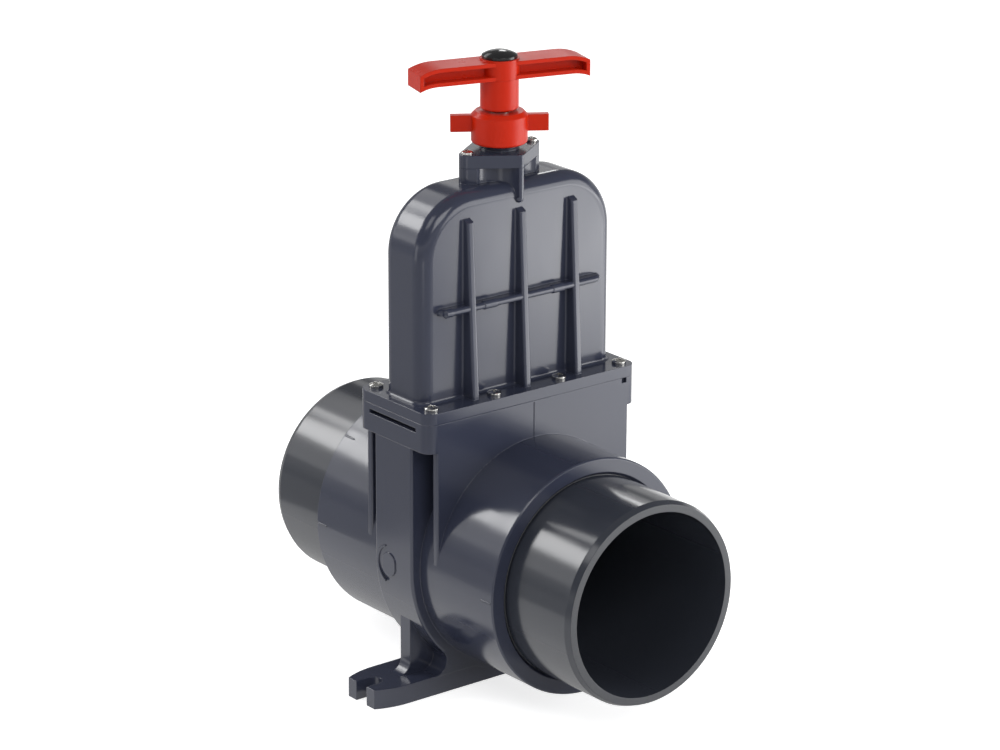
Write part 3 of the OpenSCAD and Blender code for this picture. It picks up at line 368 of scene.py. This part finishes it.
# Each panel of light: its place as a turn from the valve's front to the right and a height
# above the horizon in degrees, its distance, width and height in metres, and its brightness
PANELS = {
    "streak_left": (-147.0, 29.5, 2.6, 1.10, 0.58, 8.1),
    "crown_left": (-164.0, 39.0, 2.6, 0.60, 0.50, 4.4),
    "crown_fade": (179.0, 41.0, 2.6, 1.30, 0.55, 1.5),
    "fade_left": (-141.0, 15.5, 2.6, 1.20, 0.66, 1.3),
    "top_sheen": (141.0, 21.8, 2.6, 0.80, 0.34, 0.8),
    "streak_right": (138.0, 31.0, 2.6, 0.30, 0.45, 6.0),
    "front_right": (56.0, -6.0, 0.80, 0.62, 0.42, 2.6),
    "right_high": (42.0, 10.0, 2.3, 2.00, 1.10, 3.2),
    "front_top": (-12.0, 36.0, 2.4, 1.20, 1.00, 3.7),
    "left_low": (-104.0, 2.0, 1.9, 0.70, 0.80, 1.0),
    "left_top": (-75.0, 50.0, 2.4, 1.00, 0.80, 2.2),
}
# What the panels face
MIDDLE = Vector((0.0, 0.0, 0.22))

FLOOR_SIZE = 40.0
# Glow that makes the floor white to the camera
CAMERA_GLOW = 0.72
# How much of the floor's look in mirrors is the paper's set glow, the rest being its own colour
MIRROR_SHARE = 0.75

# The paper as mirrors see it. Glow under the valve, darkened there as a painted shadow of the valve,
# beside it, and past its edge.
PAPER_PAINTED_SHADOW = 0.5
PAPER_BESIDE = 1.38
PAPER_PAST = 0.5
# Distance from the pipe's axis over which the glow rises from the painted shadow under the valve to
# beside it
PAPER_RISE = (0.02, 0.13)
# The edge behind the valve: its turn in degrees, its distance and half its blur
PAPER_TURN = -134.0
PAPER_REACH = 0.40
PAPER_BLUR = 0.004
# Distance toward the camera, summed along both axes, over which the glow falls
PAPER_FALL = (0.5, 1.0)
# Painted pools of light on the paper, seen in mirrors: middle, reach and glow, which is full over the
# inner part of the reach
PAINTED_LIGHT_POOLS = (
    ((0.87, -0.84, 0.0), 0.34, 4.2),
    ((0.43, -0.47, 0.0), 0.24, 2.4),
    ((-0.97, -1.02, 0.0), 0.30, 2.4),
)
SPOT_CORE = 0.3

# The studio's air as mirrors see it, by the height of the ray's direction, which is the
# sine of its angle: a band that brightens above the horizon and then fades to the dark studio
HORIZON_FOOT = 0.45
HORIZON = 0.75
HORIZON_RISE = (0.0, 0.13)
HORIZON_FADE = (0.15, 0.25)


class StudioSettings(bpy.types.PropertyGroup):
    """Camera and light of the studio."""

    lens: bpy.props.FloatProperty(
        name="Lens", description="Focal length in mm", default=143.49, unit="CAMERA"
    )
    azimuth: bpy.props.FloatProperty(
        name="Azimuth", description="Camera's turn round the valve in degrees", default=-38.383
    )
    elevation: bpy.props.FloatProperty(
        name="Elevation", description="Camera's height above the horizon in degrees", default=18.635
    )
    roll: bpy.props.FloatProperty(
        name="Roll", description="Camera's roll in degrees", default=0.193
    )
    camera_place: bpy.props.FloatVectorProperty(
        name="Camera place",
        description="Camera's position",
        default=(-1.79582, -2.26892, 1.21316),
        subtype="TRANSLATION",
        unit="LENGTH",
    )
    floor_colour: bpy.props.FloatVectorProperty(
        name="Floor colour",
        description="Colour of the floor",
        default=(0.85, 0.85, 0.85),
        subtype="COLOR",
    )
    air: bpy.props.FloatProperty(
        name="Air", description="Brightness of the soft light from all round", default=0.4
    )
    mirrored_sky: bpy.props.FloatProperty(
        name="Mirrored sky", description="Brightness of the dark studio in glossy skins", default=0.2
    )


def camera_turn(azimuth, elevation, roll):
    """The camera's rotation, from its angles round the valve."""
    a, e, r = (math.radians(v) for v in (azimuth, elevation, roll))
    back = Vector((math.sin(a) * math.cos(e), -math.cos(a) * math.cos(e), math.sin(e)))
    right = Vector((math.cos(a), math.sin(a), 0.0))
    up = back.cross(right)
    turned_right = right * math.cos(r) + up * math.sin(r)
    turned_up = up * math.cos(r) - right * math.sin(r)
    return Matrix((turned_right, turned_up, back)).transposed()


def add_camera(studio):
    data = bpy.data.cameras.new("camera")
    data.sensor_width = 36.0
    data.lens = studio.lens
    data.clip_end = 50.0
    camera = bpy.data.objects.new("camera", data)
    turn = camera_turn(studio.azimuth, studio.elevation, studio.roll)
    camera.matrix_world = Matrix.Translation(studio.camera_place) @ turn.to_4x4()
    bpy.context.scene.collection.objects.link(camera)
    bpy.context.scene.camera = camera


def add_panel(name, turn, rise, distance, width, height, brightness):
    """A soft light panel that faces the valve and that the camera doesn't see."""
    data = bpy.data.lights.new(name, "AREA")
    data.shape = "RECTANGLE"
    data.size, data.size_y = width, height
    data.energy = brightness * math.pi * width * height
    lamp = bpy.data.objects.new(name, data)
    a, e = math.radians(turn), math.radians(rise)
    out = Vector((math.sin(a) * math.cos(e), -math.cos(a) * math.cos(e), math.sin(e)))
    lamp.location = MIDDLE + distance * out
    lamp.rotation_mode = "QUATERNION"
    lamp.rotation_quaternion = out.to_track_quat("Z", "Y")
    lamp.visible_camera = False
    bpy.context.scene.collection.objects.link(lamp)


def light_world(air, mirrored_sky):
    """White to the camera. Mirrors see a pale band at the horizon and a darker studio above."""
    world = bpy.data.worlds.new("studio_air")
    bpy.context.scene.world = world
    w = Nodes(world)
    camera, seen = w.seen_rays()
    height = w.along(w.node("ShaderNodeTexCoord", {}, {}, "Generated"), "Z")
    rising = w.level(height, *HORIZON_RISE, HORIZON_FOOT, HORIZON)
    mirrored = rising + w.level(height, *HORIZON_FADE, 0.0, mirrored_sky - HORIZON)
    strength = camera + (1.0 - camera) * (seen * mirrored + (1.0 - seen) * air)
    light = w.node(
        "ShaderNodeBackground", {}, {"Color": (1.0, 1.0, 1.0, 1.0), "Strength": strength}
    )
    w.node("ShaderNodeOutputWorld", {}, {"Surface": light}, None)


def paper_glow(f):
    """The glow of the paper in mirrors, with painted pools of light and a painted shadow under the
    valve, which differs from the white that the camera sees.
    """
    spot = f.node("ShaderNodeTexCoord", {}, {}, "Object")
    beside = f.along(spot, "X").absolute()
    # Painted shadow of the valve on the paper: the glow is darker near the pipe's axis, seen in
    # mirrors
    glow_with_painted_shadow = f.level(beside, *PAPER_RISE, PAPER_PAINTED_SHADOW, PAPER_BESIDE)
    turn = math.radians(PAPER_TURN)
    out = (math.sin(turn), -math.cos(turn), 0.0)
    behind = f.node("ShaderNodeVectorMath", {"operation": "DOT_PRODUCT"}, {0: spot, 1: out}, "Value")
    past = f.level(behind, PAPER_REACH - PAPER_BLUR, PAPER_REACH + PAPER_BLUR, 0.0, 1.0)
    # Painted pools of light on the paper, added to its glow
    bright = 0.0
    for middle, reach, glow in PAINTED_LIGHT_POOLS:
        gap = f.node("ShaderNodeVectorMath", {"operation": "DISTANCE"}, {0: spot, 1: middle}, "Value")
        bright = f.level(gap, SPOT_CORE * reach, reach, glow, 0.0) + bright
    toward_camera = f.along(spot, "Y") * -1.0 - f.along(spot, "X")
    far = f.level(toward_camera, *PAPER_FALL, 0.0, 1.0)
    dim = f.node("ShaderNodeMath", {"operation": "MAXIMUM"}, {0: past, 1: far})
    return glow_with_painted_shadow * (1.0 - dim) + dim * PAPER_PAST + bright


def floor_finish(colour):
    """White to the camera and greyer in the valve's shadow. Mirrors see mostly the paper's glow, with
    its painted pools of light and painted shadow.
    """
    material = bpy.data.materials.new("studio_floor")
    f = Nodes(material)
    camera, seen = f.seen_rays()
    mirror = seen - camera
    plain = f.node("ShaderNodeBsdfDiffuse", {}, {"Color": (*colour, 1.0)})
    bright = f.node("ShaderNodeEmission", {}, {"Color": camera * CAMERA_GLOW})
    lit = f.node("ShaderNodeAddShader", {}, {0: plain, 1: bright})
    mirrored = f.node("ShaderNodeEmission", {}, {"Color": paper_glow(f)})
    both = f.node("ShaderNodeMixShader", {}, {0: mirror * MIRROR_SHARE, 1: lit, 2: mirrored})
    f.node("ShaderNodeOutputMaterial", {}, {"Surface": both}, None)
    return material


class VALVE_OT_studio(bpy.types.Operator):
    """Adds the floor, the lamps and the camera"""

    bl_idname = "valve.studio"
    bl_label = "Studio"

    def execute(self, context):
        studio = context.scene.valve_studio
        context.scene.view_settings.view_transform = "Standard"
        bpy.ops.mesh.primitive_plane_add(size=FLOOR_SIZE, location=(0.0, 0.0, 0.0))
        floor = context.object
        floor.name = "floor"
        floor.data.materials.append(floor_finish(studio.floor_colour))
        light_world(studio.air, studio.mirrored_sky)
        for name, panel in PANELS.items():
            add_panel(name, *panel)
        add_camera(studio)
        return {"FINISHED"}


class VALVE_PT_panel(bpy.types.Panel):
    """Lists the steps in order"""

    bl_label = "Slide valve"
    bl_idname = "VALVE_PT_panel"
    bl_space_type = "VIEW_3D"
    bl_region_type = "UI"
    bl_category = "Slide valve"

    def draw(self, context):
        for operator in OPERATORS:
            self.layout.operator(operator.bl_idname)
        for settings in (context.scene.valve_finish, context.scene.valve_studio):
            for name in type(settings).__annotations__:
                self.layout.prop(settings, name)


OPERATORS = (
    VALVE_OT_body,
    VALVE_OT_pipes,
    VALVE_OT_handle,
    VALVE_OT_metal,
    VALVE_OT_seals,
    VALVE_OT_studio,
)
CLASSES = (FinishSettings, StudioSettings, *OPERATORS, VALVE_PT_panel)


def register():
    for cls in CLASSES:
        bpy.utils.register_class(cls)
    bpy.types.Scene.valve_finish = bpy.props.PointerProperty(type=FinishSettings)
    bpy.types.Scene.valve_studio = bpy.props.PointerProperty(type=StudioSettings)


def unregister():
    del bpy.types.Scene.valve_studio
    del bpy.types.Scene.valve_finish
    for cls in reversed(CLASSES):
        bpy.utils.unregister_class(cls)


def main():
    register()
    bpy.ops.valve.body()
    bpy.ops.valve.pipes()
    bpy.ops.valve.handle()
    bpy.ops.valve.metal()
    bpy.ops.valve.seals()
    bpy.ops.valve.studio()


if __name__ == "__main__":
    main()
